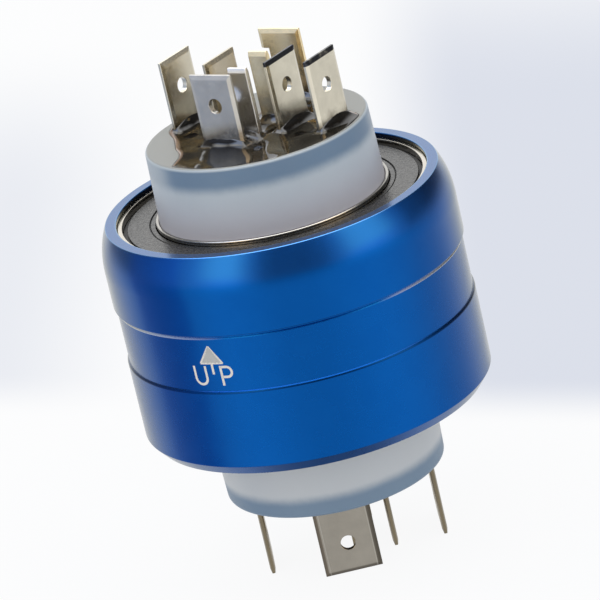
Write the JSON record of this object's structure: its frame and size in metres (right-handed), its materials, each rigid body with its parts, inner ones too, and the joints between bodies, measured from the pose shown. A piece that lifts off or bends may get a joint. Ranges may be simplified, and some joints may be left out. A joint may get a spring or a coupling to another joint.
{
  "type": "slip ring",
  "caption": "Compact rotary electrical connector: a round housing with a sealed bearing, and insulated blade terminals on both ends that turn against each other.",
  "frame": {"origin": "on the spin axis, in the plane of the lower terminals' tips", "axes": "+Z along the spin axis, from the fixed lower terminals to the turning upper ones; +X to the right in the picture"},
  "size_m": [0.0386, 0.0386, 0.0576],
  "materials": {
    "housing": "blue anodised, fine turned",
    "terminal": "dull tinned",
    "cap_plastic": "satin",
    "resin": "glossy",
    "contact_metal": "plated",
    "stack_plastic": "matt",
    "bearing_steel": "ground",
    "cage_plastic": "matt",
    "seal_grey": "matt",
    "seal_rubber": "matt"
  },
  "bodies": {
    "housing": {"upper_shell": "housing", "lower_shell": "housing", "shell_o_ring": "seal_rubber", "lower_cap": "cap_plastic", "lower_resin": "resin", "terminal_plate": "cap_plastic", "stator_insulators": "stack_plastic", "clamp_washer": "seal_rubber", "lower_terminal_1": "terminal", "lower_terminal_2": "terminal", "lower_terminal_3": "terminal", "lower_terminal_4": "terminal", "lower_terminal_5": "terminal", "lower_terminal_6": "terminal", "lower_terminal_7": "terminal", "lower_terminal_8": "terminal", "contact_cup_1": "contact_metal", "contact_cup_2": "contact_metal", "contact_cup_3": "contact_metal", "contact_cup_4": "contact_metal", "contact_cup_5": "contact_metal", "contact_cup_6": "contact_metal", "contact_cup_7": "contact_metal", "contact_cup_8": "contact_metal", "upper_bearing_outer_ring": "bearing_steel", "upper_bearing_top_seal": "seal_grey", "upper_bearing_bottom_seal": "seal_grey", "lower_bearing_outer_ring": "bearing_steel"},
    "rotor": {"upper_cap": "cap_plastic", "upper_resin": "resin", "rotor_insulators": "stack_plastic", "rotor_end_stub": "stack_plastic", "upper_bearing_inner_ring": "bearing_steel", "lower_bearing_inner_ring": "bearing_steel", "upper_terminal_1": "terminal", "upper_terminal_2": "terminal", "upper_terminal_3": "terminal", "upper_terminal_4": "terminal", "upper_terminal_5": "terminal", "upper_terminal_6": "terminal", "upper_terminal_7": "terminal", "upper_terminal_8": "terminal", "contact_disc_1": "contact_metal", "contact_disc_2": "contact_metal", "contact_disc_3": "contact_metal", "contact_disc_4": "contact_metal", "contact_disc_5": "contact_metal", "contact_disc_6": "contact_metal", "contact_disc_7": "contact_metal", "contact_disc_8": "contact_metal"},
    "upper_cage": {"upper_bearing_cage": "cage_plastic", "upper_bearing_balls": "bearing_steel"},
    "lower_cage": {"lower_bearing_cage": "cage_plastic", "lower_bearing_balls": "bearing_steel"}
  },
  "joints": [
    {"name": "rotor_spin", "type": "hinge", "parent": "housing", "child": "rotor", "pos_m": [0, 0, 0.0392], "axis": [0, 0, 1], "continuous": true},
    {"name": "upper_cage_spin", "type": "hinge", "parent": "housing", "child": "upper_cage", "pos_m": [0, 0, 0.0392], "axis": [0, 0, 1], "continuous": true},
    {"name": "lower_cage_spin", "type": "hinge", "parent": "housing", "child": "lower_cage", "pos_m": [0, 0, 0.02345], "axis": [0, 0, 1], "continuous": true}
  ],
  "couplings": [
    {"joint": "upper_cage_spin", "follows": "rotor_spin", "ratio": 0.46259},
    {"joint": "lower_cage_spin", "follows": "rotor_spin", "ratio": 0.42727}
  ]
}
